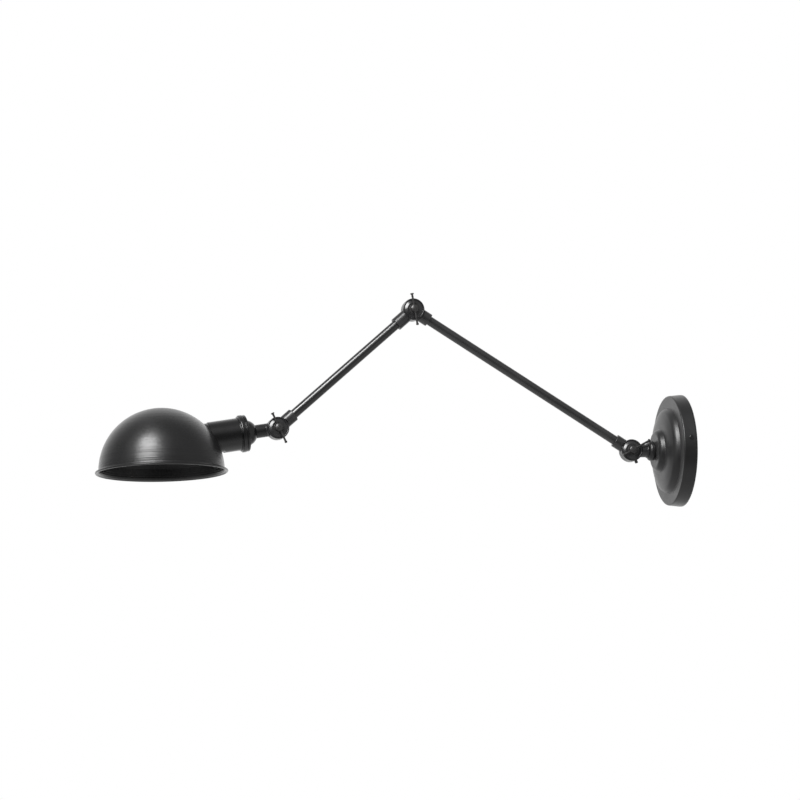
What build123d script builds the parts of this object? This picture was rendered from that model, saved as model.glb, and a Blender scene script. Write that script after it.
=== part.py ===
from build123d import *
from math import acos, cos, degrees, radians, sin, sqrt
import os

os.makedirs("parts", exist_ok=True)

# Articulating wall lamp, in millimetres. The wall is the plane X = 0 and the lamp reaches towards -X.
# +Z is up. The origin is the centre of the wall plate's back. Every hinge axis runs along Y, and the
# heads of the clamping screws are on the -Y side.
# An angle in the XZ plane is counted from +X towards +Z.

# ---- pose at rest and lengths between pivots ----
pivot_out = 61.2  # from the wall to the wall knuckle's pivot
upper_length = 304.8  # wall pivot to elbow pivot
lower_length = 214.8  # elbow pivot to head pivot
upper_rise = 32.7  # the upper arm rises from the wall, degrees
lower_drop = 40.5  # the lower arm drops towards the head, degrees
head_drop = 8.5  # the head's axis drops away from its pivot, degrees

# ---- tubes and wires ----
tube_r = 5.4
tube_wall = 1.0
tube_gap = 0.2  # left at each end of a tube in its socket
thread_fit = 0.05  # radial room in screwed and pushed joints
flex_r = 1.3  # insulated twin lead
flex_y = 2.3  # the lead lies beside the parting plane of the knuckles
flex_end = 8.2  # a lead ends this far from a pivot

# ---- knuckles ----
disc_r = 12.8
disc_t = 6.1  # one half, at its rim
hub_rise = 0.8  # the middle of a face stands proud of its rim
hub_r = 6.9
land_r = 11.5  # inner edge of the flat rim
groove_r = 10.7
groove_depth = 0.7
edge_round = 0.8
seam = 0.5  # thickness of the friction washer between the halves
boss_r = 4.4  # round the screw, inside
cavity_r = 9.6  # ring channel for the wires
cavity_depth = 3.4
passage_r = 1.6  # wire hole from the channel to a socket
passage_lap = 1.0  # it starts this far inside the channel
knuckle_clear = 0.4  # between a stem and the other half
stem_r = 7.7
stem_round = 0.6
socket_floor = 14.2  # from the pivot
upper_root_stem = 22.6  # stem lengths, from the pivot
upper_tip_stem = 22.4
lower_root_stem = 27.0
lower_tip_stem = 24.8
root_lap = 0.05  # a stem's root runs this far into its disc

# ---- clamping screws and tommy bars ----
screw_r = 3.0
screw_fit = 0.06
screw_head_r = 4.3
screw_head_height = 4.4
screw_dome = 1.2
face_washer_r = 5.6
face_washer_t = 0.6
bar_r = 1.2
bar_fit = 0.07
bar_height = 2.4  # from the head's seat to the bar's axis
bar_length = 38.0
knob_r = 2.05
knob_t = 1.6
bulb_end_r = 1.6
bulb_end_t = 2.2
wall_bar_angle = 28.0  # the way the knob points
elbow_bar_angle = 98.6
head_bar_angle = 114.0
wall_bar_shift = 4.6  # slid towards the knob at rest
elbow_bar_shift = -0.7
head_bar_shift = -0.7
nut_flats = 10.0
nut_t = 4.0
nut_pocket = 3.0
nut_fit = 0.1
stop_pin_r = 1.8
stop_pin_angle = -69.0
stop_pin_out = 16.2  # tip, from the pivot
stop_pin_in = 10.4

# ---- wall plate ----
plate_r = 65.5  # at the wall
plate_foot = 2.0  # the rim is straight this far from the wall, and then tapers
plate_foot_round = 4.0
plate_taper = 1.4  # it is this much smaller at the flat ring
plate_wall = 1.2
ring_height = 15.6  # the flat ring, from the wall
ring_edge_round = 1.6
tier_r = 50.2  # foot of the lower dome
tier_foot_round = 1.2
tier_shoulder_r = 47.5
tier_shoulder_height = 21.7
tier_shoulder_round = 8.5
tier_crown_r = 36.4
tier_crown_height = 25.3
tier_crown_round = 50.0
boss_foot_r = 25.2
boss_foot_height = 26.3
boss_foot_round = 1.0
boss_top_r = 22.6
boss_height = 32.6
boss_round = 5.0
plate_screw_angle = 6.0  # of the side screws, above the horizontal
plate_screw_height = 6.8  # from the wall
plate_screw_r = 2.0
plate_screw_head_r = 2.7
plate_screw_head_t = 1.5
plate_screw_length = 7.0
plate_screw_slot = 0.7
plate_screw_turn = 35.0  # the way its slot has come to rest
plate_screw_clear = 0.2

# ---- wall bracket ----
bracket_r = 54.0
bracket_t = 1.5
tab_width = 14.0
tab_height = 11.0
tab_clear = 0.4  # between a tab and the plate's wall
wall_hole_spacing = 60.0
wall_hole_r = 2.4
cable_hole_r = 11.0
terminal_size = (11.0, 30.0, 12.0)
terminal_drop = 30.0  # its middle, under the lamp's axis
terminal_hole_r = 1.9
terminal_pitch = 10.0
terminal_screw_r = 1.7
terminal_screw_length = 4.0
terminal_screw_recess = 0.6
earth_screw_y = 20.0
earth_screw_z = 26.0
earth_screw_r = 2.0
earth_head_r = 3.6

# ---- wall swivel ----
nipple_r = 5.0
nipple_bore_r = 3.5
nipple_tail = 20.0  # inner end, from the wall
nipple_fit = 0.06
nipple_flange_r = 6.0
nipple_flange_t = 1.5
flange_room = 0.15
swivel_gap = 0.3
collar_r = 11.8
collar_t = 8.0
collar_round = 3.6
swivel_bead_r = 8.6
swivel_bead_t = 1.6
swivel_bead_round = 0.7
tooth_washer_r = 9.0
tooth_washer_t = 1.0
tooth_count = 12
tooth_gap = (1.4, 1.0)
lock_nut_flats = 14.0
lock_nut_t = 3.0

# ---- head, along its axis from the head pivot ----
head_stem = 15.0
sleeve_end = 26.2
cap_hub_r = 8.2
cap_hub_t = 1.8
cap_nut_room = 0.3  # round the corners of the nut in the cap
cap_bulge = (4.5, 4.6)  # a point on its rounded back: from the hub's face, and out from the hub
cap_wall = 1.5
cap_rim_r = 15.1
cap_length = 11.2
cap_flange_r = 18.4
cap_flange_t = 1.4
ring_bead_r = 21.4
ring_front_r = 19.9
ring_back_r = 20.9
ring_lip_t = 1.1
ring_length = 9.4
ring_band_end = 2.7  # its back band, groove and bead, along the ring
ring_groove_start = 3.2
ring_groove_depth = 0.7
ring_bead_start = 4.0
ring_bead_end = 7.8
ring_front_start = 8.7
ring_fit = 0.15
neck_r = 18.7
neck_wall = 0.9
neck_gap = 0.1  # between its end and the cap's flange
spigot_end = 46.0
holder_r = 16.4
holder_start = 40.4
holder_end = 78.0
holder_floor = 49.0
holder_ledge = 1.5  # under the screw shell
shell_start = 52.0
shell_end = 77.0
shell_r = 13.3  # inside, takes an E27 lamp cap
shell_wall = 0.5
contact_r = 3.2
contact_t = 0.8
contact_lift = 2.4
contact_foot = 2.0
holder_screw_r = 1.6
holder_screw_offset = 10.0
holder_screw_length = 5.0

# ---- shade ----
shade_along = 140.7  # middle of the rim, along the head's axis
shade_below = 28.5  # and below that axis
shade_lean = 8.5  # the shade's axis leans from square to the neck, degrees
dome_r = 71.6
shade_wall = 1.0
flare_height = 2.4  # the flare starts this far above the dome's middle
lip_out = 2.6  # middle of the rolled lip, outside the dome
lip_drop = 1.3  # and below its middle
lip_round = 1.3
braze_gap = 0.05
sleeve_wall = 0.6  # the shade's own short sleeve, inside the neck
sleeve_lap = 8.0  # past the neck's end
joint_angle = 31.0  # the neck's cut end faces the dome along this direction
joint_rise = 2.7  # from the dome to the cut, at its ends
saddle_r = 36.0  # the cut is hollow across the neck


def along(angle):
    """Unit direction in the XZ plane."""
    return Vector(cos(radians(angle)), 0, sin(radians(angle)))


def section(origin, angle):
    """Plane through a point and the Y direction: local x runs along the angle and local y along +Y."""
    return Plane(origin=origin, x_dir=along(angle), z_dir=along(angle + 90))


def square_to(origin, angle, distance=0.0):
    """Plane square to a direction, at a distance along it: local z runs along the angle, local x along Y."""
    return Plane(origin=origin + along(angle) * distance, x_dir=(0, 1, 0), z_dir=along(angle))


def facing(origin, side, height=0.0):
    """Plane square to a hinge axis: local z runs outwards on that side, side -1 being -Y."""
    return Plane(origin=origin + Vector(0, side * height, 0), x_dir=(1, 0, 0), z_dir=(0, side, 0))


def spun(plane, axis, points):
    """Solid of revolution of a closed line of corners, each given as x, y and its rounding."""
    with BuildSketch(plane) as profile:
        with BuildLine():
            FilletPolyline(*[(x, y) for x, y, _ in points], radius=[r for _, _, r in points], close=True)
        make_face()
    revolve(profile.sketch, axis=axis)


def turned(origin, angle, points):
    """Solid of revolution about the line through the origin along the angle: points are (along, radius)."""
    spun(section(origin, angle), Axis(origin, along(angle)), points)


def bore(origin, angle, radius, start, end, y=0.0):
    """Round hole along a direction, at a distance y to the side."""
    with BuildSketch(square_to(origin + Vector(0, y, 0), angle, start)) as hole:
        Circle(radius)
    extrude(hole.sketch, amount=end - start, mode=Mode.SUBTRACT)


def save(builder, name):
    builder.part.label = name
    export_step(builder.part, f"parts/{name}.step")


# ---- places ----
wall_angle = 0.0  # the wall knuckle's base faces the wall
upper_angle = 180 - upper_rise
upper_back_angle = -upper_rise
lower_angle = 180 + lower_drop
lower_back_angle = lower_drop
head_angle = 180 + head_drop
shade_angle = head_angle - 90 - shade_lean
wall_pivot = Vector(-pivot_out, 0, 0)
elbow_pivot = wall_pivot + along(upper_angle) * upper_length
head_pivot = elbow_pivot + along(lower_angle) * lower_length
shade_centre = head_pivot + along(head_angle) * shade_along + along(head_angle + 90) * shade_below
origin = Vector(0, 0, 0)
outward = 180.0  # from the wall into the room

FRONT = -1
REAR = 1
face_y = seam / 2 + disc_t  # rim face of a knuckle, from its parting plane
hub_y = face_y + hub_rise  # middle of its face
seat_y = hub_y + face_washer_t  # where a clamping screw's head sits
collar_height = boss_height + collar_t
base_stem = pivot_out - collar_height - swivel_gap


# ---- knuckle halves ----
def knuckle_half(pivot, angle, side, stem_length, bead=None):
    """One disc of a knuckle with its stem. A bead is (start, radius, rounding) at the stem's end."""
    inner = seam / 2
    with BuildPart() as half:
        with BuildSketch(square_to(pivot, angle)):
            Circle(stem_r)
        extrude(amount=stem_length)
        fillet(half.faces().filter_by(GeomType.PLANE).sort_by(Axis(pivot, along(angle)))[-1].edges(), stem_round)
        if bead:
            start, radius, rounding = bead
            bead_outline = [
                (start, 0, 0),
                (start, radius, rounding),
                (stem_length, radius, rounding),
                (stem_length, 0, 0),
            ]
            turned(pivot, angle, bead_outline)
        # room for the other half and its washer, and the round seat of the stem's own disc
        with BuildSketch(facing(pivot, side, inner)):
            Circle(disc_r + knuckle_clear)
        extrude(amount=-2 * stem_r, mode=Mode.SUBTRACT)
        with BuildSketch(facing(pivot, side, inner)):
            Circle(disc_r - root_lap)
        extrude(amount=2 * stem_r, mode=Mode.SUBTRACT)
        # the disc: screw hole, boss, ring channel for the wires, rim, groove and raised middle
        profile = [
            (screw_r + screw_fit, inner, 0),
            (boss_r, inner, 0),
            (boss_r, inner + cavity_depth, 0),
            (cavity_r, inner + cavity_depth, 0),
            (cavity_r, inner, 0),
            (disc_r, inner, 0),
            (disc_r, face_y, edge_round),
            (land_r, face_y, groove_depth / 3),
            (groove_r, face_y - groove_depth, groove_depth / 3),
            (hub_r + hub_rise, hub_y, 2 * hub_rise),
            (screw_r + screw_fit, hub_y, 0),
        ]
        faces = [(r, side * y, rounding) for r, y, rounding in profile]
        spun(section(pivot, angle), Axis(pivot, (0, 1, 0)), faces)
        bore(pivot, angle, passage_r, cavity_r - passage_lap, socket_floor, side * flex_y)
        if side == REAR:
            with BuildSketch(facing(pivot, side, hub_y)):
                RegularPolygon(nut_flats / 2 + nut_fit, 6, major_radius=False)
            extrude(amount=-nut_pocket, mode=Mode.SUBTRACT)
    return half


def tube_half(pivot, angle, side, stem_length):
    """Knuckle half whose stem is a socket for an arm tube."""
    half = knuckle_half(pivot, angle, side, stem_length)
    with half:
        bore(pivot, angle, tube_r + thread_fit, socket_floor, stem_length)
    return half


bead_start = base_stem - swivel_bead_t
wall_knuckle_base = knuckle_half(
    wall_pivot, wall_angle, FRONT, base_stem, (bead_start, swivel_bead_r, swivel_bead_round)
)
flange_pocket = socket_floor + nipple_flange_t + 2 * flange_room
with wall_knuckle_base:
    bore(wall_pivot, wall_angle, nipple_flange_r + flange_room, socket_floor, flange_pocket)
    bore(wall_pivot, wall_angle, nipple_r + nipple_fit, flange_pocket, base_stem)
    # hole for the stop pin, in the rim
    bore(wall_pivot, stop_pin_angle, stop_pin_r, stop_pin_in, disc_r, FRONT * face_y / 2)
save(wall_knuckle_base, "wall_knuckle_base")

wall_knuckle_arm = tube_half(wall_pivot, upper_angle, REAR, upper_root_stem)
save(wall_knuckle_arm, "wall_knuckle_arm")

elbow_knuckle_upper = tube_half(elbow_pivot, upper_back_angle, REAR, upper_tip_stem)
save(elbow_knuckle_upper, "elbow_knuckle_upper")

elbow_knuckle_lower = tube_half(elbow_pivot, lower_angle, FRONT, lower_root_stem)
save(elbow_knuckle_lower, "elbow_knuckle_lower")

head_knuckle_arm = tube_half(head_pivot, lower_back_angle, FRONT, lower_tip_stem)
save(head_knuckle_arm, "head_knuckle_arm")

head_knuckle_socket = knuckle_half(head_pivot, head_angle, REAR, head_stem)
with head_knuckle_socket:
    spigot = [
        (head_stem - stem_round, 0, 0),
        (head_stem - stem_round, nipple_r, 0),
        (spigot_end, nipple_r, 0.5),
        (spigot_end, 0, 0),
    ]
    turned(head_pivot, head_angle, spigot)
    bore(head_pivot, head_angle, nipple_bore_r, socket_floor, spigot_end)
save(head_knuckle_socket, "head_knuckle_socket")

with BuildPart() as wall_stop_pin:
    pin_outline = [
        (stop_pin_in, 0, 0),
        (stop_pin_in, stop_pin_r, 0),
        (stop_pin_out, stop_pin_r, stop_pin_r / 2),
        (stop_pin_out, 0, 0),
    ]
    turned(wall_pivot + Vector(0, FRONT * face_y / 2, 0), stop_pin_angle, pin_outline)
save(wall_stop_pin, "wall_stop_pin")


# ---- what clamps each knuckle ----
def friction_washer(pivot):
    with BuildPart() as washer:
        with BuildSketch(facing(pivot, REAR, -seam / 2)):
            Circle(disc_r - edge_round / 2)
            Circle(cavity_r + edge_round / 2, mode=Mode.SUBTRACT)
        extrude(amount=seam)
    return washer


def face_washer(pivot):
    with BuildPart() as washer:
        with BuildSketch(facing(pivot, FRONT, hub_y)):
            Circle(face_washer_r)
            Circle(screw_r + screw_fit, mode=Mode.SUBTRACT)
        extrude(amount=face_washer_t)
        fillet(washer.edges().filter_by(GeomType.CIRCLE).group_by(Axis.Y)[0].sort_by(SortBy.RADIUS)[-1], 0.3)
    return washer


def clamp_screw(pivot, bar_angle):
    """Screw along the hinge axis: its domed head is at -Y, and its tip comes out of the nut."""
    tip_y = hub_y - nut_pocket + nut_t
    neck_y = seat_y + screw_head_height
    with BuildPart() as screw:
        with BuildSketch(section(pivot, 0)):
            with BuildLine():
                corners = [(0, tip_y), (screw_r, tip_y), (screw_r, -seat_y), (screw_head_r, -seat_y)]
                Polyline(*corners, (screw_head_r, -neck_y))
                dome_r_squared = screw_head_r**2 + screw_dome**2
                dome_arc_r = dome_r_squared / (2 * screw_dome)
                dome_half = degrees(acos((dome_arc_r - screw_dome) / dome_arc_r)) / 2
                mid_r = dome_arc_r * sin(radians(dome_half))
                mid_y = neck_y + screw_dome - dome_arc_r * (1 - cos(radians(dome_half)))
                ThreePointArc((screw_head_r, -neck_y), (mid_r, -mid_y), (0, -neck_y - screw_dome))
                Line((0, -neck_y - screw_dome), (0, tip_y))
            make_face()
        revolve(axis=Axis(pivot, (0, 1, 0)))
        bore(pivot, bar_angle, bar_r + bar_fit, -2 * screw_head_r, 2 * screw_head_r, -seat_y - bar_height)
    return screw


def tommy_bar(pivot, bar_angle, shift):
    """Bar through a screw's head, with a nail head at one end and an upset bulb at the other."""
    knob_end = bar_length / 2 + shift
    plain_end = shift - bar_length / 2
    with BuildPart() as bar:
        bar_outline = [
            (plain_end, 0, 0),
            (plain_end, bulb_end_r, bulb_end_r * 0.6),
            (plain_end + bulb_end_t, bulb_end_r, bulb_end_r * 0.2),
            (plain_end + bulb_end_t, bar_r, 0),
            (knob_end - knob_t, bar_r, 0),
            (knob_end - knob_t, knob_r, knob_t * 0.3),
            (knob_end, knob_r, knob_t * 0.45),
            (knob_end, 0, 0),
        ]
        turned(pivot + Vector(0, -seat_y - bar_height, 0), bar_angle, bar_outline)
    return bar


def clamp_nut(pivot):
    floor_y = hub_y - nut_pocket
    with BuildPart() as nut:
        with BuildSketch(facing(pivot, REAR, floor_y)):
            RegularPolygon(nut_flats / 2, 6, major_radius=False)
        extrude(amount=nut_t)
        chamfer(nut.faces().sort_by(Axis.Y)[-1].edges(), 0.5)
        with BuildSketch(facing(pivot, REAR, floor_y)):
            Circle(screw_r + screw_fit)
        extrude(amount=nut_t, mode=Mode.SUBTRACT)
    return nut


knuckles = {
    "wall": (wall_pivot, wall_bar_angle, wall_bar_shift),
    "elbow": (elbow_pivot, elbow_bar_angle, elbow_bar_shift),
    "head": (head_pivot, head_bar_angle, head_bar_shift),
}
for place, (pivot, bar_angle, bar_shift) in knuckles.items():
    save(friction_washer(pivot), f"{place}_friction_washer")
    save(face_washer(pivot), f"{place}_screw_washer")
    save(clamp_screw(pivot, bar_angle), f"{place}_clamp_screw")
    save(tommy_bar(pivot, bar_angle, bar_shift), f"{place}_tommy_bar")
    save(clamp_nut(pivot), f"{place}_clamp_nut")


# ---- arm tubes and the leads in them ----
def arm_tube(pivot, angle, length):
    start = socket_floor + tube_gap
    with BuildPart() as tube:
        with BuildSketch(square_to(pivot, angle, start)):
            Circle(tube_r)
            Circle(tube_r - tube_wall, mode=Mode.SUBTRACT)
        extrude(amount=length - 2 * start)
    return tube


def lead(pivot, angle, start, end, y):
    with BuildPart() as flex:
        with BuildSketch(square_to(pivot + Vector(0, y, 0), angle, start)):
            Circle(flex_r)
        extrude(amount=end - start)
    return flex


save(arm_tube(wall_pivot, upper_angle, upper_length), "upper_arm_tube")
save(arm_tube(elbow_pivot, lower_angle, lower_length), "lower_arm_tube")
save(lead(wall_pivot, upper_angle, flex_end, upper_length - flex_end, REAR * flex_y), "upper_arm_lead")
save(lead(elbow_pivot, lower_angle, flex_end, lower_length - flex_end, FRONT * flex_y), "lower_arm_lead")
save(lead(head_pivot, head_angle, flex_end, spigot_end, REAR * (nipple_bore_r - flex_r)), "head_lead")

# ---- wall plate ----
rim_slope = plate_taper / (ring_height - plate_foot)
tab_r = plate_r - rim_slope * tab_height - plate_wall - tab_clear
screw_seat_r = plate_r - rim_slope * (plate_screw_height - plate_screw_head_r - plate_foot)
spokes = [Vector(0, -1, 0).rotate(Axis.X, turn - plate_screw_angle) for turn in (0, 180)]
with BuildPart() as wall_plate:
    with BuildSketch(section(origin, outward)):
        with BuildLine():
            profile = [
                (0, plate_r, 0),
                (plate_foot, plate_r, plate_foot_round),
                (ring_height, plate_r - plate_taper, ring_edge_round),
                (ring_height, tier_r, tier_foot_round),
                (tier_shoulder_height, tier_shoulder_r, tier_shoulder_round),
                (tier_crown_height, tier_crown_r, tier_crown_round),
                (boss_foot_height, boss_foot_r, boss_foot_round),
                (boss_height, boss_top_r, boss_round),
                (boss_height, nipple_r + 2 * thread_fit, 0),
            ]
            FilletPolyline(*[(x, r) for x, r, _ in profile], radius=[f for _, _, f in profile[1:-1]])
            offset(amount=plate_wall, side=Side.RIGHT)
        make_face()
    revolve(axis=Axis(origin, along(outward)))
    for spoke in spokes:
        with BuildSketch(Plane(origin=(-plate_screw_height, 0, 0), x_dir=(1, 0, 0), z_dir=spoke)):
            Circle(plate_screw_r + plate_screw_clear)
        extrude(amount=plate_r + plate_wall, mode=Mode.SUBTRACT)
save(wall_plate, "wall_plate")

# ---- wall bracket: a disc with two bent tabs ----
with BuildPart() as wall_bracket:
    with BuildSketch(Plane.YZ):
        Circle(bracket_r)
        Rectangle(2 * tab_r, tab_width, rotation=-plate_screw_angle)
        Circle(cable_hole_r, mode=Mode.SUBTRACT)
        with Locations((0, wall_hole_spacing / 2), (0, -wall_hole_spacing / 2)):
            Circle(wall_hole_r, mode=Mode.SUBTRACT)
        with Locations((earth_screw_y, earth_screw_z)):
            Circle(earth_screw_r + thread_fit, mode=Mode.SUBTRACT)
    extrude(amount=-bracket_t)
    for spoke in spokes:
        tab_plane = Plane(origin=spoke * tab_r, x_dir=(1, 0, 0), z_dir=spoke)
        with BuildSketch(tab_plane):
            with Locations((-tab_height / 2, 0)):
                RectangleRounded(tab_height, tab_width, 1.0)
        extrude(amount=-bracket_t)
        with BuildSketch(tab_plane):
            with Locations((-plate_screw_height, 0)):
                Circle(plate_screw_r + thread_fit)
        extrude(amount=-bracket_t, mode=Mode.SUBTRACT)
save(wall_bracket, "wall_bracket")

with BuildPart() as plate_screws:
    for spoke in spokes:
        place = Vector(-plate_screw_height, 0, 0)
        head = Plane(origin=place + spoke * screw_seat_r, x_dir=(1, 0, 0), z_dir=spoke)
        with BuildSketch(head):
            Circle(plate_screw_head_r)
        raised = extrude(amount=plate_screw_head_t)
        fillet(raised.faces().sort_by(Axis(place, spoke))[-1].edges(), plate_screw_head_t * 0.6)
        with BuildSketch(head):
            Circle(plate_screw_r)
        extrude(amount=-plate_screw_length)
        with BuildSketch(head.offset(plate_screw_head_t)):
            Rectangle(2 * plate_screw_head_r, plate_screw_slot, rotation=plate_screw_turn)
        extrude(amount=-plate_screw_slot, mode=Mode.SUBTRACT)
save(plate_screws, "plate_screws")

# ---- wall swivel ----
nipple_tip = pivot_out - socket_floor - flange_room
with BuildPart() as wall_nipple:
    nipple_outline = [
        (nipple_tail, nipple_bore_r, 0),
        (nipple_tail, nipple_r, 0.5),
        (nipple_tip - nipple_flange_t, nipple_r, 0),
        (nipple_tip - nipple_flange_t, nipple_flange_r, 0),
        (nipple_tip, nipple_flange_r, 0),
        (nipple_tip, nipple_bore_r, 0),
    ]
    turned(origin, outward, nipple_outline)
save(wall_nipple, "wall_nipple")

with BuildPart() as wall_collar:
    collar_outline = [
        (boss_height, nipple_r + thread_fit, 0),
        (boss_height, collar_r, collar_round),
        (collar_height, collar_r, collar_round),
        (collar_height, nipple_r + thread_fit, 0),
    ]
    turned(origin, outward, collar_outline)
save(wall_collar, "wall_collar")

washer_seat = boss_height - plate_wall
nut_seat = washer_seat - tooth_washer_t
with BuildPart() as toothed_washer:
    with BuildSketch(square_to(origin, outward, nut_seat)):
        Circle(tooth_washer_r)
        with PolarLocations(tooth_washer_r, tooth_count):
            Rectangle(*tooth_gap, mode=Mode.SUBTRACT)
        Circle(nipple_r + thread_fit, mode=Mode.SUBTRACT)
    extrude(amount=tooth_washer_t)
save(toothed_washer, "toothed_washer")


def lock_nut(centre, angle, start):
    with BuildPart() as nut:
        with BuildSketch(square_to(centre, angle, start)):
            RegularPolygon(lock_nut_flats / 2, 6, major_radius=False)
            Circle(nipple_r + thread_fit, mode=Mode.SUBTRACT)
        extrude(amount=lock_nut_t)
    return nut


save(lock_nut(origin, outward, nut_seat - lock_nut_t), "wall_lock_nut")

# ---- connections behind the plate ----
block_depth, block_width, block_height = terminal_size
block_plane = Plane(origin=(-bracket_t, 0, -terminal_drop), x_dir=(0, 1, 0), z_dir=(-1, 0, 0))
with BuildPart() as terminal_block:
    with BuildSketch(block_plane):
        RectangleRounded(block_width, block_height, 1.0)
        with Locations((-block_width / 3, 0), (0, 0), (block_width / 3, 0)):
            Circle(terminal_hole_r, mode=Mode.SUBTRACT)
    extrude(amount=block_depth)
    with BuildSketch(block_plane):
        with Locations((-block_width / 3, 0), (0, 0), (block_width / 3, 0)):
            Circle(terminal_hole_r)
    extrude(amount=block_depth - terminal_screw_length)
save(terminal_block, "terminal_block")

with BuildPart() as terminal_screws:
    with BuildSketch(block_plane.offset(block_depth - terminal_screw_length)):
        with Locations((-block_width / 3, 0), (0, 0), (block_width / 3, 0)):
            Circle(terminal_screw_r)
    extrude(amount=terminal_screw_length - terminal_screw_recess)
save(terminal_screws, "terminal_screws")

with BuildPart() as earth_screw:
    earth_plane = Plane(origin=(-bracket_t, earth_screw_y, earth_screw_z), x_dir=(0, 1, 0), z_dir=(-1, 0, 0))
    with BuildSketch(earth_plane):
        Circle(earth_head_r)
    extrude(amount=earth_screw_r)
    fillet(earth_screw.faces().sort_by(Axis.X)[0].edges(), earth_screw_r / 2)
    with BuildSketch(earth_plane):
        Circle(earth_screw_r)
    extrude(amount=-bracket_t)
save(earth_screw, "earth_screw")

block_top = terminal_drop - block_height / 2
block_middle = bracket_t + block_depth / 2
lead_bend = nipple_tail - 3 * flex_r
with BuildPart() as wall_lead:
    with BuildLine():
        route = FilletPolyline(
            (-block_middle, 0, -block_top),
            (-block_middle, 0, -block_top / 2),
            (-lead_bend, 0, 0),
            (-nipple_tip, 0, 0),
            radius=[2 * flex_r, 3 * flex_r],
        )
    with BuildSketch(Plane(origin=route @ 0, z_dir=route % 0)):
        Circle(flex_r)
    sweep()
save(wall_lead, "wall_lead")

# ---- head ----
with BuildPart() as head_sleeve:
    sleeve_outline = [
        (head_stem, nipple_r + thread_fit, 0),
        (head_stem, stem_r, 0.4),
        (sleeve_end, stem_r, 0.3),
        (sleeve_end, nipple_r + thread_fit, 0),
    ]
    turned(head_pivot, head_angle, sleeve_outline)
save(head_sleeve, "head_sleeve")

cap_end = sleeve_end + cap_length
with BuildPart() as back_cap:
    with BuildSketch(section(head_pivot, head_angle)):
        with BuildLine():
            bulge = (sleeve_end + cap_bulge[0], cap_hub_r + cap_bulge[1])
            room_r = lock_nut_flats / sqrt(3) + cap_nut_room
            Line((sleeve_end, nipple_r + thread_fit), (sleeve_end, cap_hub_r))
            ThreePointArc((sleeve_end, cap_hub_r), bulge, (cap_end, cap_rim_r))
            flange = [(cap_end, cap_rim_r), (cap_end, cap_flange_r), (cap_end + cap_flange_t, cap_flange_r)]
            Polyline(*flange, (cap_end + cap_flange_t, cap_rim_r - cap_wall))
            inner_corner = (sleeve_end + cap_hub_t, room_r)
            hub = [inner_corner, (sleeve_end + cap_hub_t, nipple_r + thread_fit)]
            Polyline((cap_end + cap_flange_t, cap_rim_r - cap_wall), *hub, (sleeve_end, nipple_r + thread_fit))
        make_face()
    revolve(axis=Axis(head_pivot, along(head_angle)))
save(back_cap, "back_cap")

save(lock_nut(head_pivot, head_angle, sleeve_end + cap_hub_t), "cap_lock_nut")

neck_start = cap_end + cap_flange_t + neck_gap
ring_start = cap_end - ring_lip_t
ring_end = ring_start + ring_length
with BuildPart() as collar_ring:
    lip = ring_start + ring_lip_t - ring_fit
    ring_outline = [
        (ring_start, cap_rim_r + 2 * ring_fit, 0),
        (ring_start, ring_back_r, 0.7),
        (ring_start + ring_band_end, ring_back_r, 0.3),
        (ring_start + ring_groove_start, ring_back_r - ring_groove_depth, 0.2),
        (ring_start + ring_bead_start, ring_bead_r, 0.7),
        (ring_start + ring_bead_end, ring_bead_r, 1.0),
        (ring_start + ring_front_start, ring_front_r, 0.3),
        (ring_end, ring_front_r, 0.2),
        (ring_end, neck_r + ring_fit, 0),
        (lip, neck_r + ring_fit, 0),
        (lip, cap_rim_r + 2 * ring_fit, 0),
    ]
    turned(head_pivot, head_angle, ring_outline)
save(collar_ring, "collar_ring")

neck_reach = shade_along - (dome_r - neck_r)
saddle_centre = shade_centre + along(joint_angle) * (dome_r + joint_rise - saddle_r)
with BuildPart() as neck:
    with BuildSketch(square_to(head_pivot, head_angle, neck_start)):
        Circle(neck_r)
        Circle(neck_r - neck_wall, mode=Mode.SUBTRACT)
    extrude(amount=neck_reach - neck_start)
    with Locations(shade_centre):
        Sphere(dome_r + braze_gap, mode=Mode.SUBTRACT)
    with BuildSketch(square_to(saddle_centre, joint_angle + 90, -3 * neck_r)):
        Circle(saddle_r)
    extrude(amount=6 * neck_r, mode=Mode.SUBTRACT)
save(neck, "neck")

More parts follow.
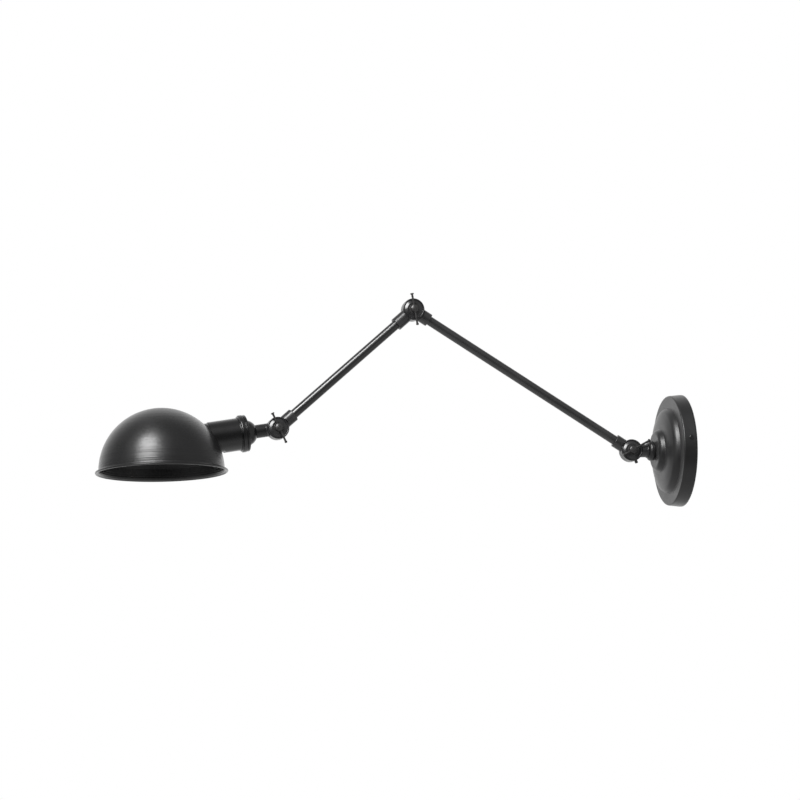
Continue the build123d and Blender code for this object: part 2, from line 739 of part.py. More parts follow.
sleeve_r = neck_r - neck_wall - braze_gap
sleeve_start = shade_along - dome_r - sleeve_lap
with BuildPart() as shade:
    with BuildSketch(square_to(head_pivot, head_angle, sleeve_start)):
        Circle(sleeve_r)
    extrude(amount=neck_reach - sleeve_start)
    with Locations(shade_centre):
        Sphere(dome_r - shade_wall, mode=Mode.SUBTRACT)
    with BuildSketch(section(shade_centre, shade_angle)):
        with BuildLine():
            lip_r = dome_r + lip_out
            inner_r = dome_r - shade_wall
            flare_r = sqrt(dome_r**2 - flare_height**2)
            inner_flare_r = sqrt(inner_r**2 - flare_height**2)
            mid = along(45) * dome_r
            inner_mid = along(45) * inner_r
            # the flare meets the rolled lip inside its thickness, on both faces
            over = (lip_round * 0.7 - lip_drop, lip_r - lip_round * 0.5)
            under = (-lip_round * 0.4 - lip_drop, lip_r - lip_round * 0.7)
            over_mid = (flare_height + (over[0] - flare_height) * 0.7, flare_r + (over[1] - flare_r) * 0.3)
            under_mid = (
                flare_height + (under[0] - flare_height) * 0.7,
                inner_flare_r + (under[1] - inner_flare_r) * 0.3,
            )
            ThreePointArc((dome_r, 0), (mid.X, mid.Z), (flare_height, flare_r))
            ThreePointArc((flare_height, flare_r), over_mid, over)
            Line(over, under)
            ThreePointArc(under, under_mid, (flare_height, inner_flare_r))
            ThreePointArc((flare_height, inner_flare_r), (inner_mid.X, inner_mid.Z), (inner_r, 0))
            Line((inner_r, 0), (dome_r, 0))
        make_face()
        with Locations((-lip_drop, lip_r)):
            Circle(lip_round)
    revolve(axis=Axis(shade_centre, along(shade_angle)))
    bore(head_pivot, head_angle, sleeve_r - sleeve_wall, holder_start, shade_along)
save(shade, "shade")

# ---- lampholder ----
with BuildPart() as lampholder_body:
    holder_outline = [
        (holder_start, nipple_r + thread_fit, 0),
        (holder_start, holder_r, 1.0),
        (holder_end, holder_r, 0.8),
        (holder_end, shell_r + shell_wall + thread_fit, 0),
        (shell_start, shell_r + shell_wall + thread_fit, 0),
        (shell_start, shell_r - holder_ledge, 0),
        (holder_floor, shell_r - holder_ledge, 0),
        (holder_floor, 0, 0),
        (spigot_end + 1.0, 0, 0),
        (spigot_end + 1.0, nipple_r + thread_fit, 0),
    ]
    turned(head_pivot, head_angle, holder_outline)
    with BuildSketch(square_to(head_pivot, head_angle, holder_start)):
        with Locations((holder_screw_offset, 0), (-holder_screw_offset, 0)):
            Circle(holder_screw_r + thread_fit)
    extrude(amount=holder_screw_length, mode=Mode.SUBTRACT)
save(lampholder_body, "lampholder_body")

with BuildPart() as lampholder_screws:
    with BuildSketch(square_to(head_pivot, head_angle, holder_start)):
        with Locations((holder_screw_offset, 0), (-holder_screw_offset, 0)):
            Circle(holder_screw_r)
    extrude(amount=holder_screw_length)
save(lampholder_screws, "lampholder_screws")

with BuildPart() as screw_shell:
    with BuildSketch(square_to(head_pivot, head_angle, shell_start)):
        Circle(shell_r + shell_wall)
        Circle(shell_r, mode=Mode.SUBTRACT)
    extrude(amount=shell_end - shell_start)
save(screw_shell, "screw_shell")

with BuildPart() as centre_contact:
    contact_outline = [
        (holder_floor, 0, 0),
        (holder_floor, contact_r + contact_foot, 0),
        (holder_floor + contact_t, contact_r + contact_foot, 0),
        (holder_floor + contact_t, contact_r, 0),
        (holder_floor + contact_lift, contact_r - 1, 0.6),
        (holder_floor + contact_lift, 0, 0),
    ]
    turned(head_pivot, head_angle, contact_outline)
save(centre_contact, "centre_contact")
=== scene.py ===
import math

import bmesh
import bpy
from mathutils import Matrix, Vector


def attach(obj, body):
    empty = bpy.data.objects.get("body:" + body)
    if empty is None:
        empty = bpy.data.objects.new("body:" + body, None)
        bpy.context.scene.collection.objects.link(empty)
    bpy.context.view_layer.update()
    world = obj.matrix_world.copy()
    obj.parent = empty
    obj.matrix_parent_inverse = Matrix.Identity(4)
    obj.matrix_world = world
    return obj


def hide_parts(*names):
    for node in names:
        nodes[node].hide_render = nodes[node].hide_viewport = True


# Articulating wall lamp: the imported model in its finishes. Metres, +Z up, and the wall is the plane X = 0.

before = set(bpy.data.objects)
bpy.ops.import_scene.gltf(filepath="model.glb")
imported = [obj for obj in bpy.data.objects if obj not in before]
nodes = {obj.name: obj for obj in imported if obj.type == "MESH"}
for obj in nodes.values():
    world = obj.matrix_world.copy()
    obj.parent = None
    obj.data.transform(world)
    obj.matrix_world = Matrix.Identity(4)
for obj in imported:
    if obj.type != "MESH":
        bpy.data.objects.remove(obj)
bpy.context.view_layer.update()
scene = bpy.context.scene

# ---- places on the lamp, at rest ----
SHADE_Z = -0.02382  # the dome's middle, at the rim
HEAD_DROP = math.radians(8.5)  # slope of the neck
SHELL_MIDDLE = Vector((-0.54482, 0.0, 0.01563))  # middle of the lampholder's screw shell
UPPER_RUN = Vector((-0.8415, 0.0, 0.5402))  # along the upper arm, away from the wall
LOWER_RUN = Vector((0.7604, 0.0, 0.6494))  # along the lower arm, back to the elbow
HINGE_WAY = Vector((0.0, 1.0, 0.0))  # the way that every hinge axis runs
LAMP_MIDDLE = Vector((-0.33, 0.0, 0.05))


# ---- camera ----
CAMERA_AT = Vector((-1.2492, -3.9549, -0.57434))
YAW, PITCH, ROLL = math.radians(13.0), math.radians(8.867), math.radians(-1.775)
FOCAL_PIXELS = 3557.0
PICTURE_PIXELS = 800.0
SENSOR = 36.0  # millimetres
NEAREST, FARTHEST = 0.05, 60.0  # that the camera sees


def view_axes():
    """The camera's right, up and forward directions."""
    forward = Vector((math.sin(YAW) * math.cos(PITCH), math.cos(YAW) * math.cos(PITCH), math.sin(PITCH)))
    level = Vector((math.cos(YAW), -math.sin(YAW), 0.0))
    above = level.cross(forward)
    right = math.cos(ROLL) * level + math.sin(ROLL) * above
    up = math.cos(ROLL) * above - math.sin(ROLL) * level
    return right, up, forward


RIGHT, UP, FORWARD = view_axes()


def seen_as(right, up, toward):
    """A direction in the scene, from how far it points right, up and towards the viewer of the photograph."""
    return (right * RIGHT + up * UP - toward * FORWARD).normalized()


def place_camera():
    data = bpy.data.cameras.new("camera")
    data.sensor_width = SENSOR
    data.lens = SENSOR * FOCAL_PIXELS / PICTURE_PIXELS
    data.clip_start = NEAREST
    data.clip_end = FARTHEST
    camera = bpy.data.objects.new("camera", data)
    scene.collection.objects.link(camera)
    turn = Matrix((RIGHT, UP, -FORWARD)).transposed().to_4x4()
    camera.matrix_world = Matrix.Translation(CAMERA_AT) @ turn
    scene.camera = camera


place_camera()


# ---- building materials from nodes ----
MIX_FLOATS = (2, 3)  # the inputs of a Mix node for its two numbers
MIX_COLORS = (6, 7)  # and for its two colours
MIXED_COLOR = 2  # its colour output
BAND = (0.3, 0.7)  # most of a noise's values lie between these


class Finish:
    """A material with a Principled shader, and short calls that add and join nodes."""

    def __init__(self, name, color, roughness, metallic=0.0, specular=0.5, ior=1.5):
        self.material = bpy.data.materials.new(name)
        self.material.use_nodes = True
        self.tree = self.material.node_tree
        self.tree.nodes.clear()
        self.shader = self.tree.nodes.new("ShaderNodeBsdfPrincipled")
        out = self.tree.nodes.new("ShaderNodeOutputMaterial")
        self.tree.links.new(self.shader.outputs[0], out.inputs[0])
        self.place = self.tree.nodes.new("ShaderNodeTexCoord").outputs["Object"]
        self.shader.inputs["Base Color"].default_value = (*color, 1.0)
        self.shader.inputs["Roughness"].default_value = roughness
        self.shader.inputs["Metallic"].default_value = metallic
        self.shader.inputs["Specular IOR Level"].default_value = specular
        self.shader.inputs["IOR"].default_value = ior
        self.relief = None

    def set(self, node, key, value):
        """Gives a node's input, found by its name or number, a value or joins it to another socket."""
        if isinstance(value, bpy.types.NodeSocket):
            self.tree.links.new(value, node.inputs[key])
        else:
            node.inputs[key].default_value = value

    def add(self, kind, **inputs):
        """A node of that kind. An input's name has _ for a space."""
        node = self.tree.nodes.new(kind)
        for key, value in inputs.items():
            self.set(node, key.replace("_", " "), value)
        return node

    def math(self, operation, *values):
        node = self.tree.nodes.new("ShaderNodeMath")
        node.operation = operation
        for index, value in enumerate(values):
            self.set(node, index, value)
        return node.outputs[0]

    def split(self, vector):
        """The x, y and z of a vector."""
        node = self.tree.nodes.new("ShaderNodeSeparateXYZ")
        self.set(node, 0, vector)
        return node.outputs

    def join(self, *xyz):
        node = self.tree.nodes.new("ShaderNodeCombineXYZ")
        for index, value in enumerate(xyz):
            self.set(node, index, value)
        return node.outputs[0]

    def noise(self, scale, detail=2.0, roughness=0.5, place=None, distortion=0.0):
        """Noise with about scale marks to the metre."""
        node = self.add("ShaderNodeTexNoise", Scale=scale, Detail=detail, Roughness=roughness,
                        Distortion=distortion, Vector=self.place if place is None else place)
        return node.outputs[0]

    def cells(self, scale, output):
        """The distance to the middle of each small cell, or the cell's own random colour."""
        return self.add("ShaderNodeTexVoronoi", Scale=scale, Vector=self.place).outputs[output]

    def span(self, value, band, to=(0.0, 1.0)):
        """value, from the band to the range in to, held at its ends."""
        node = self.add("ShaderNodeMapRange")
        node.clamp = True
        for index, entry in enumerate((value, *band, *to)):
            self.set(node, index, entry)
        return node.outputs[0]

    def blend(self, amount, *colors):
        """The first colour where amount is 0 and the second where it is 1."""
        node = self.tree.nodes.new("ShaderNodeMix")
        node.data_type = "RGBA"
        self.set(node, 0, amount)
        for index, color in zip(MIX_COLORS, colors):
            self.set(node, index, color if isinstance(color, bpy.types.NodeSocket) else (*color, 1.0))
        return node.outputs[MIXED_COLOR]

    def raise_by(self, height, metres):
        """height, from 0 to 1, lifts the surface by up to that many metres in its shading."""
        lift = self.math("MULTIPLY", height, metres)
        self.relief = lift if self.relief is None else self.math("ADD", self.relief, lift)

    def done(self, color, roughness):
        """The material, with its colour, its roughness and its relief joined up."""
        self.set(self.shader, "Base Color", color)
        self.set(self.shader, "Roughness", roughness)
        bump = self.add("ShaderNodeBump", Strength=1.0, Distance=1.0, Height=self.relief)
        self.set(self.shader, "Normal", bump.outputs[0])
        return self.material


def dull(color, by):
    return tuple(channel * by for channel in color)


# ---- colours ----
BLACK = (0.0034, 0.0034, 0.0037)
PLATE_BLACK = (0.009, 0.009, 0.0094)
# the same black paint made lighter for the upper arm and the knuckles: painted light, standing in for the
# light that falls on them
PAINTED_LIGHT_BLACK = (0.017, 0.017, 0.0177)
WORN = (0.07, 0.068, 0.066)  # metal through the knuckles' paint
BLACKENED = (0.05, 0.05, 0.052), (0.1, 0.098, 0.096)
ZINC = (0.44, 0.45, 0.47), (0.68, 0.68, 0.67)
BRASS = (0.52, 0.35, 0.13), (0.74, 0.55, 0.26)
GLAZE = (0.76, 0.74, 0.69), (0.83, 0.82, 0.79)
GLAZE_SPECK = (0.45, 0.4, 0.33)
MOULDED = (0.74, 0.735, 0.7), (0.81, 0.81, 0.79)
FIBRE = (0.1, 0.035, 0.02), (0.22, 0.09, 0.05)
INSULATION = (0.035, 0.035, 0.037), (0.07, 0.07, 0.072)

# ---- black paint ----
PEEL_HEIGHT = 0.000012  # the paint's orange-peel skin
SPECK_HEIGHT = 0.0000025
PIT_HEIGHT = 0.000004
BLOOM_SPREAD = 0.35  # sheen roughness of the bloom
QUARTER_TURN = 0.25  # highlights are drawn across the rings and not along them
LACQUER, LACQUER_ROUGHNESS = 0.4, 0.42  # a softer coat on the shade


def satin_black(name, roughness, marks=None, grain=1.0, black=BLACK, ior=1.5, stretch=0.0, bloom=0.0):
    """Black stoved paint: a fine orange-peel skin and a soft cloudy gloss. marks adds the rings or lines of
    the metal under it, grain deepens the skin and bloom adds a pale dusty sheen. stretch draws highlights
    out, up and down a form that was spun about an upright axis."""
    f = Finish(name, black, roughness, specular=0.9, ior=ior)
    if stretch:
        rings = f.add("ShaderNodeTangent")
        rings.direction_type = "RADIAL"
        rings.axis = "Z"
        f.set(f.shader, "Tangent", rings.outputs[0])
        f.shader.inputs["Anisotropic"].default_value = stretch
        f.shader.inputs["Anisotropic Rotation"].default_value = QUARTER_TURN
        f.shader.inputs["Coat Weight"].default_value = LACQUER
        f.shader.inputs["Coat Roughness"].default_value = LACQUER_ROUGHNESS
    f.shader.inputs["Sheen Weight"].default_value = bloom
    f.shader.inputs["Sheen Roughness"].default_value = BLOOM_SPREAD
    peel = f.noise(scale=900.0, detail=3.0, roughness=0.6)
    specks = f.noise(scale=3800.0, detail=1.0)
    cloud = f.noise(scale=28.0, detail=3.0, roughness=0.6)
    f.raise_by(peel, PEEL_HEIGHT * grain)
    f.raise_by(specks, SPECK_HEIGHT * grain)
    rough = f.math("ADD", f.span(cloud, BAND, to=(roughness - 0.03, roughness + 0.04)),
                   f.span(specks, (0.35, 0.65), to=(-0.02, 0.03)))
    if marks is not None:
        lines, depth = marks(f)
        f.raise_by(lines, depth)
        rough = f.math("ADD", rough, f.span(lines, BAND, to=(-0.02, 0.03)))
    return f.done(f.blend(f.span(cloud, (0.3, 0.72)), dull(black, 0.85), dull(black, 1.25)), rough)


RING_WOBBLE = 0.0006
RING_DEPTH = 0.0016  # for the noise's whole range, of which the rings use about a tenth
RINGS_FADE = (0.012, 0.03)  # between these heights above the rim
RINGS_LEFT = 0.25  # what is left of them further up
PLATE_RING_DEPTH = 0.000012
DRAWN_DEPTH = 0.000006


def shade_rings(f):
    """Rings about the shade's upright axis, deeper towards the rim, where the tool worked last."""
    level = f.math("SUBTRACT", f.split(f.place)[2], SHADE_Z)
    wobble = f.math("MULTIPLY", f.noise(scale=9.0, detail=1.0), RING_WOBBLE)
    height = f.join(0.0, 0.0, f.math("ADD", level, wobble))
    fine = f.noise(scale=520.0, detail=2.0, roughness=0.7, place=height)
    wide = f.noise(scale=120.0, detail=1.0, place=height)
    lines = f.math("ADD", f.math("MULTIPLY", fine, 0.6), f.math("MULTIPLY", wide, 0.4))
    near_rim = f.span(level, RINGS_FADE, to=(1.0, RINGS_LEFT))
    return f.math("MULTIPLY", f.math("SUBTRACT", lines, 0.5), near_rim), RING_DEPTH


def plate_rings(f):
    """Rings about the plate's axis, from its spinning."""
    _, y, z = f.split(f.place)
    out = f.math("SQRT", f.math("ADD", f.math("MULTIPLY", y, y), f.math("MULTIPLY", z, z)))
    fine = f.noise(scale=900.0, detail=2.0, roughness=0.7, place=f.join(out, 0.0, 0.0))
    return f.math("SUBTRACT", fine, 0.5), PLATE_RING_DEPTH


def drawn_lines(run):
    """Faint lines along a drawn tube that runs that way."""
    def lines(f):
        above = f.add("ShaderNodeVectorMath")
        above.operation = "DOT_PRODUCT"
        f.set(above, 0, f.place)
        f.set(above, 1, run.cross(HINGE_WAY))
        y = f.split(f.place)[1]
        fine = f.noise(scale=1500.0, detail=1.0, place=f.join(above.outputs["Value"], y, 0.0))
        return f.math("SUBTRACT", fine, 0.5), DRAWN_DEPTH
    return lines


def cast_black(name, roughness=0.24):
    """The knuckles: turned castings under a thin, glossy coat, with the metal just showing at the edges."""
    f = Finish(name, PAINTED_LIGHT_BLACK, roughness, specular=0.9, ior=1.6)
    cloud = f.noise(scale=90.0, detail=3.0)
    f.raise_by(f.noise(scale=1300.0, detail=3.0, roughness=0.6), PEEL_HEIGHT)
    f.raise_by(f.span(f.cells(1400.0, "Distance"), (0.0, 0.25)), PIT_HEIGHT)
    edge = f.add("ShaderNodeNewGeometry").outputs["Pointiness"]
    worn = f.math("MULTIPLY", f.span(edge, (0.53, 0.62)), f.span(cloud, (0.42, 0.62)))
    paint = f.blend(f.span(cloud, BAND), dull(PAINTED_LIGHT_BLACK, 0.8), dull(PAINTED_LIGHT_BLACK, 1.3))
    return f.done(f.blend(f.math("MULTIPLY", worn, 0.5), paint, WORN),
                  f.span(cloud, BAND, to=(roughness - 0.04, roughness + 0.05)))


# ---- the other finishes ----
SCRATCH_HEIGHT = 0.000004  # scratches and rolling marks on metal
GLAZE_HEIGHT = 0.00003
MOULD_HEIGHT = 0.00003
FIBRE_HEIGHT = 0.00004
INSULATION_HEIGHT = 0.00002
FIBRE_ROUGHNESS = 0.75


def blackened_steel(name):
    """Screws and bars: oiled black steel with fine scratches."""
    f = Finish(name, (0.03, 0.03, 0.032), 0.26, metallic=0.6, specular=0.7)
    cloud = f.noise(scale=300.0, detail=4.0, roughness=0.65)
    f.raise_by(f.noise(scale=2600.0, detail=1.0), SCRATCH_HEIGHT)
    return f.done(f.blend(f.span(cloud, BAND), *BLACKENED), f.span(cloud, BAND, to=(0.24, 0.38)))


def zinc_steel(name):
    """Bright zinc on pressed steel, with a fine spangle and rolling marks."""
    f = Finish(name, (0.56, 0.57, 0.58), 0.34, metallic=1.0)
    cloud = f.noise(scale=60.0, detail=4.0, roughness=0.6)
    across = f.math("MULTIPLY", f.split(f.place)[1], 2200.0)
    f.raise_by(f.noise(scale=1.0, detail=3.0, place=f.join(0.0, across, 0.0)), SCRATCH_HEIGHT)
    tone = f.math("ADD", f.math("MULTIPLY", f.cells(420.0, "Color"), 0.5), f.math("MULTIPLY", cloud, 0.5))
    return f.done(f.blend(f.span(tone, (0.2, 0.75)), *ZINC), f.span(tone, (0.2, 0.8), to=(0.26, 0.44)))


def brass(name):
    """Plain turned brass, a little tarnished in clouds."""
    f = Finish(name, (0.66, 0.47, 0.2), 0.28, metallic=1.0)
    cloud = f.noise(scale=160.0, detail=4.0, roughness=0.6)
    f.raise_by(f.noise(scale=2400.0, detail=2.0), SCRATCH_HEIGHT)
    return f.done(f.blend(f.span(cloud, (0.3, 0.72)), *BRASS), f.span(cloud, BAND, to=(0.22, 0.4)))


def porcelain(name):
    """White glaze, slightly wavy, with a few dark specks."""
    f = Finish(name, (0.8, 0.79, 0.75), 0.16, specular=0.6)
    cloud = f.noise(scale=120.0, detail=3.0)
    f.raise_by(f.noise(scale=320.0, detail=2.0), GLAZE_HEIGHT)
    clean = f.blend(f.span(cloud, BAND), *GLAZE)
    return f.done(f.blend(f.span(f.cells(600.0, "Distance"), (0.03, 0.06)), GLAZE_SPECK, clean),
                  f.span(cloud, BAND, to=(0.12, 0.22)))


def moulded_white(name):
    """Moulded plastic with a fine grain."""
    f = Finish(name, (0.78, 0.78, 0.75), 0.42)
    grain = f.noise(scale=1600.0, detail=3.0)
    f.raise_by(grain, MOULD_HEIGHT)
    return f.done(f.blend(f.span(f.noise(scale=70.0, detail=2.0), BAND), *MOULDED),
                  f.span(grain, BAND, to=(0.36, 0.52)))


def red_fibre(name):
    """Pressed fibre, dark red and matt."""
    f = Finish(name, (0.16, 0.06, 0.035), FIBRE_ROUGHNESS)
    fibres = f.noise(scale=900.0, detail=4.0, roughness=0.7, distortion=2.0)
    f.raise_by(fibres, FIBRE_HEIGHT)
    return f.done(f.blend(f.span(fibres, BAND), *FIBRE), FIBRE_ROUGHNESS)


def lead_skin(name):
    """The wires' black insulation."""
    f = Finish(name, (0.05, 0.05, 0.052), 0.45)
    grain = f.noise(scale=2200.0, detail=2.0)
    f.raise_by(grain, INSULATION_HEIGHT)
    return f.done(f.blend(f.span(f.noise(scale=80.0, detail=2.0), BAND), *INSULATION),
                  f.span(grain, BAND, to=(0.38, 0.55)))


# ---- which piece has which finish ----
def dress(material, *names):
    """Gives CAD nodes this material."""
    for name in names:
        mesh = nodes[name].data
        mesh.materials.clear()
        mesh.materials.append(material)


paint_shade = satin_black("paint_shade", 0.3, marks=shade_rings, stretch=0.45)
paint_plate = satin_black("paint_plate", 0.38, marks=plate_rings, grain=2.5, black=PLATE_BLACK, bloom=0.2)
paint_fittings = satin_black("paint_fittings", 0.19, ior=1.6)
# the upper tube takes the lighter black and the lower tube the plain black: painted light, for the light the
# upper tube catches
paint_upper = satin_black("paint_upper_tube", 0.32, marks=drawn_lines(UPPER_RUN), black=PAINTED_LIGHT_BLACK, ior=1.7)
paint_lower = satin_black("paint_lower_tube", 0.24, marks=drawn_lines(LOWER_RUN), ior=1.8)
paint_cast = cast_black("paint_knuckles")
steel_black = blackened_steel("steel_blackened")
steel_zinc = zinc_steel("steel_zinc")
brass_plain = brass("brass_plain")
ceramic = porcelain("porcelain_glazed")
plastic = moulded_white("plastic_moulded")
fibre = red_fibre("fibre_red")
lead = lead_skin("lead_insulation_black")

dress(paint_shade, "shade", "head_sleeve")
dress(paint_plate, "wall_plate", "wall_collar")
dress(paint_fittings, "neck", "collar_ring", "back_cap", "plate_screws")
dress(paint_upper, "upper_arm_tube")
dress(paint_lower, "lower_arm_tube")
dress(paint_cast, "wall_knuckle_base", "wall_knuckle_arm", "elbow_knuckle_upper", "elbow_knuckle_lower",
      "head_knuckle_arm", "head_knuckle_socket")
for joint in ("wall", "elbow", "head"):
    dress(steel_black, f"{joint}_clamp_screw", f"{joint}_tommy_bar", f"{joint}_screw_washer")
    dress(brass_plain, f"{joint}_clamp_nut")
    dress(fibre, f"{joint}_friction_washer")
dress(steel_black, "wall_stop_pin")
dress(steel_zinc, "wall_bracket", "toothed_washer", "wall_nipple", "wall_lock_nut", "cap_lock_nut",
      "terminal_screws")
dress(brass_plain, "earth_screw", "screw_shell", "centre_contact", "lampholder_screws")
dress(ceramic, "lampholder_body")
dress(plastic, "terminal_block")
dress(lead, "wall_lead", "upper_arm_lead", "lower_arm_lead", "head_lead")


# ---- the lampholder's threaded shell, which the solid leaves plain ----
SHELL_AXIS = Vector((-math.cos(HEAD_DROP), 0.0, -math.sin(HEAD_DROP)))
SHELL_LENGTH = 0.025
SHELL_R = 0.0138  # outside
SHELL_SHEET = 0.0004
SHELL_PITCH = 0.00363  # E27
SHELL_DEPTH = 0.0009
SHELL_RUN_IN = 0.002  # the thread starts within this length
SHELL_RUN_OUT = 0.003  # and ends within this one
SHELL_SLICES = 90
SHELL_STEPS = 72
SHELL_CREASE = math.radians(40.0)  # edges sharper than this stay crisp


def rolled_shell():
    """The lampholder's screw shell: thin brass rolled into a rounded thread, plain at its two ends."""
    start = SHELL_MIDDLE - SHELL_AXIS * SHELL_LENGTH / 2
    up = SHELL_AXIS.cross(HINGE_WAY)
    mesh = bmesh.new()

    def ring(place, radius):
        """Points round the axis, that far from the shell's start, drawn in where the groove passes."""
        cut = min(1.0, place / SHELL_RUN_IN, (SHELL_LENGTH - place) / SHELL_RUN_OUT)
        points = []
        for step in range(SHELL_STEPS):
            turn = math.tau * step / SHELL_STEPS
            groove = 0.5 - 0.5 * math.cos(math.tau * place / SHELL_PITCH - turn)
            outward = HINGE_WAY * math.cos(turn) + up * math.sin(turn)
            reach = radius - cut * SHELL_DEPTH * groove
            points.append(mesh.verts.new(start + SHELL_AXIS * place + outward * reach))
        return points

    places = [SHELL_LENGTH * k / SHELL_SLICES for k in range(SHELL_SLICES + 1)]
    outside = [ring(place, SHELL_R) for place in places]
    inside = [ring(place, SHELL_R - SHELL_SHEET) for place in places]
    loop = outside + inside[::-1] + outside[:1]
    for a, b in zip(loop, loop[1:]):
        for step in range(SHELL_STEPS):
            after = (step + 1) % SHELL_STEPS
            mesh.faces.new((a[step], a[after], b[after], b[step]))
    bmesh.ops.recalc_face_normals(mesh, faces=mesh.faces)
    data = bpy.data.meshes.new("screw_shell_thread")
    mesh.to_mesh(data)
    mesh.free()
    data.shade_smooth()
    data.materials.append(brass_plain)
    shell = bpy.data.objects.new("screw_shell_thread", data)
    scene.collection.objects.link(shell)
    edges = shell.modifiers.new("edges", "EDGE_SPLIT")
    edges.split_angle = SHELL_CREASE
    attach(shell, "head")
    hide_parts("screw_shell")


rolled_shell()


# ---- floor ----
FLOOR_Z = -1.0
FLOOR_HALF = 14.0
FLOOR_WHITE = (0.86, 0.86, 0.86, 1.0)
FLOOR_FADE = (1.2, 4.5)  # between these distances from its middle it turns into the white surround


def eased(tree, value, band, to=(0.0, 1.0)):
    """value, from the band to the range in to, with soft ends."""
    node = tree.nodes.new("ShaderNodeMapRange")
    node.clamp = True
    node.interpolation_type = "SMOOTHSTEP"
    tree.links.new(value, node.inputs[0])
    for index, entry in enumerate((*band, *to), start=1):
        node.inputs[index].default_value = entry
    return node.outputs[0]


def studio_floor():
    """A pale floor that turns into the white surround with distance, and isn't seen from below."""
    mesh = bpy.data.meshes.new("floor")
    h = FLOOR_HALF
    mesh.from_pydata([(-h, -h, 0), (h, -h, 0), (h, h, 0), (-h, h, 0)], [], [(0, 1, 2, 3)])
    floor = bpy.data.objects.new("floor", mesh)
    floor.location = (0.0, 0.0, FLOOR_Z)
    scene.collection.objects.link(floor)
    material = bpy.data.materials.new("floor_pale")
    material.use_nodes = True
    tree = material.node_tree
    tree.nodes.clear()
    new, link = tree.nodes.new, tree.links.new
    matt = new("ShaderNodeBsdfDiffuse")
    matt.inputs["Color"].default_value = FLOOR_WHITE
    white = new("ShaderNodeEmission")
    clear = new("ShaderNodeBsdfTransparent")
    length = new("ShaderNodeVectorMath")
    length.operation = "LENGTH"
    link(new("ShaderNodeTexCoord").outputs["Object"], length.inputs[0])
    surface = new("ShaderNodeMixShader")
    link(eased(tree, length.outputs["Value"], FLOOR_FADE), surface.inputs[0])
    link(matt.outputs[0], surface.inputs[1])
    link(white.outputs[0], surface.inputs[2])
    seen = new("ShaderNodeMixShader")
    link(new("ShaderNodeNewGeometry").outputs["Backfacing"], seen.inputs[0])
    link(surface.outputs[0], seen.inputs[1])
    link(clear.outputs[0], seen.inputs[2])
    link(seen.outputs[0], new("ShaderNodeOutputMaterial").inputs[0])
    mesh.materials.append(material)
    floor.visible_glossy = False


# ---- surround and lamp ----
AMBIENT = 0.3  # the room's soft light on the lamp
# what gloss mirrors, from the dark room behind the camera (-1) to the white backdrop (1)
MIRRORED = ((-1.0, 0.03), (-0.9, 0.07), (-0.75, 0.2), (-0.5, 0.27), (0.0, 0.22), (0.25, 0.24), (0.44, 0.33),
            (0.55, 0.47), (0.66, 0.6), (0.77, 0.75), (0.9, 1.0))
DOWN = Vector((0.0, 0.0, -1.0))
FLOOR_EDGE = (0.35, 0.8)  # how steeply down the floor begins and is all there is, in gloss
FLOOR_AHEAD = 0.5  # the white floor beyond the lamp, in gloss
FLOOR_BEFORE = 0.32  # and the dimmer one on the camera's side
FLOOR_CHANGE = (-0.4, 0.3)  # from before to ahead
KEY = seen_as(-0.384, 0.68, 0.625)  # where the soft lamp is: to the left, up and towards the camera
KEY_AWAY = 6.0
KEY_HALF_WIDTH, KEY_HALF_HEIGHT = math.radians(16.0), math.radians(18.5)  # as seen from the wall lamp
KEY_RADIANCE = 9.2
KEY_GLOW = 0.5  # what the pale walls round it add in gloss
KEY_GLOW_EDGE = (0.6, 0.95)


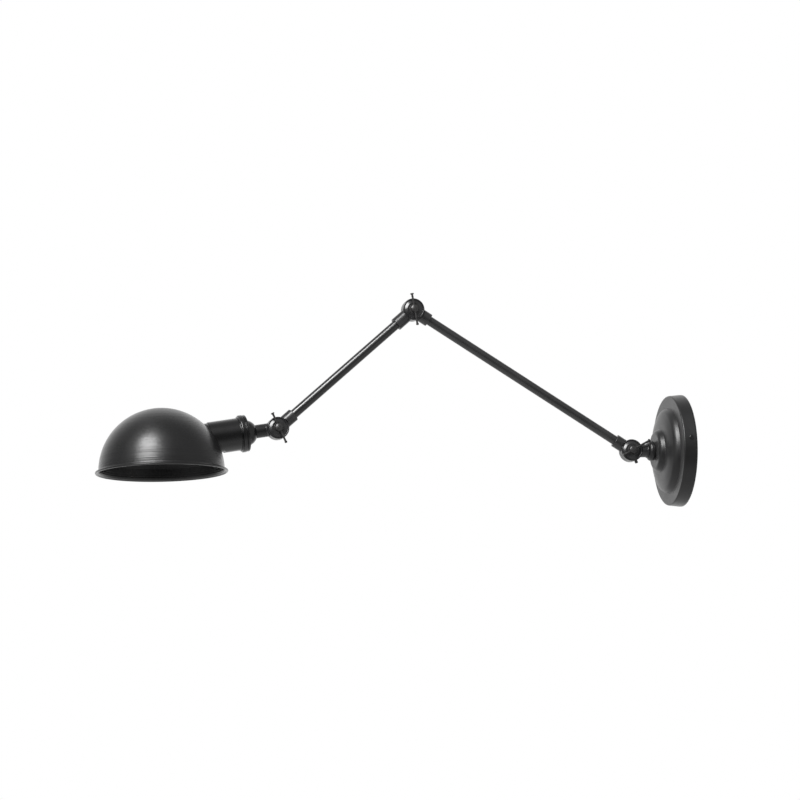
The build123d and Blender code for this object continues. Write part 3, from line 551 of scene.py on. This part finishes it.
def surround():
    """White to the camera. In gloss, a white backdrop and floor give way to a dim room behind the camera."""
    world = bpy.data.worlds.new("studio")
    scene.world = world
    world.use_nodes = True
    tree = world.node_tree
    tree.nodes.clear()
    new, link = tree.nodes.new, tree.links.new
    outlook = new("ShaderNodeTexCoord").outputs["Generated"]

    def toward(direction):
        """How far each direction of the surround points that way, from -1 to 1."""
        node = new("ShaderNodeVectorMath")
        node.operation = "DOT_PRODUCT"
        link(outlook, node.inputs[0])
        node.inputs[1].default_value = direction
        return node.outputs["Value"]

    def joined(operation, a, b):
        node = new("ShaderNodeMath")
        node.operation = operation
        link(a, node.inputs[0])
        link(b, node.inputs[1])
        return node.outputs[0]

    def either(choice):
        """A number that is its first input where choice is 0 and its second where it is 1."""
        node = new("ShaderNodeMix")
        node.data_type = "FLOAT"
        link(choice, node.inputs[0])
        return node, node.inputs[MIX_FLOATS[0]], node.inputs[MIX_FLOATS[1]]

    ahead = toward(FORWARD)
    share = new("ShaderNodeMath")
    share.operation = "MULTIPLY_ADD"
    link(ahead, share.inputs[0])
    share.inputs[1].default_value = 0.5
    share.inputs[2].default_value = 0.5
    ramp = new("ShaderNodeValToRGB")
    link(share.outputs[0], ramp.inputs[0])
    stops = ramp.color_ramp.elements
    while len(stops) < len(MIRRORED):
        stops.new(0.5)
    for stop, (reach, level) in zip(stops, MIRRORED):
        stop.position = (reach + 1) / 2
        stop.color = (level, level, level, 1.0)
    glow = eased(tree, toward(KEY), KEY_GLOW_EDGE, to=(0.0, KEY_GLOW))
    floor = joined("MULTIPLY", eased(tree, toward(DOWN), FLOOR_EDGE),
                   eased(tree, ahead, FLOOR_CHANGE, to=(FLOOR_BEFORE, FLOOR_AHEAD)))
    glossy = joined("MAXIMUM", joined("MAXIMUM", ramp.outputs[0], glow), floor)
    path = new("ShaderNodeLightPath")
    lit, in_light, in_gloss = either(path.outputs["Is Glossy Ray"])
    in_light.default_value = AMBIENT
    link(glossy, in_gloss)
    seen = joined("MAXIMUM", path.outputs["Is Camera Ray"], path.outputs["Is Transmission Ray"])
    strength, unseen, plain = either(seen)
    link(lit.outputs[0], unseen)
    plain.default_value = 1.0
    background = new("ShaderNodeBackground")
    background.inputs["Color"].default_value = (1.0, 1.0, 1.0, 1.0)
    link(strength.outputs[0], background.inputs["Strength"])
    link(background.outputs[0], new("ShaderNodeOutputWorld").inputs[0])


def key_lamp():
    """The soft lamp, a wide oval."""
    data = bpy.data.lights.new("key_octabox", "AREA")
    data.shape = "ELLIPSE"
    data.size = 2 * KEY_AWAY * math.tan(KEY_HALF_WIDTH)
    data.size_y = 2 * KEY_AWAY * math.tan(KEY_HALF_HEIGHT)
    data.energy = KEY_RADIANCE * math.pi * math.pi * data.size * data.size_y / 4
    lamp = bpy.data.objects.new("key_octabox", data)
    scene.collection.objects.link(lamp)
    lamp.location = LAMP_MIDDLE + KEY * KEY_AWAY
    lamp.rotation_mode = "QUATERNION"
    lamp.rotation_quaternion = KEY.to_track_quat("Z", "Y")


studio_floor()
surround()
key_lamp()

scene.view_settings.view_transform = "Standard"
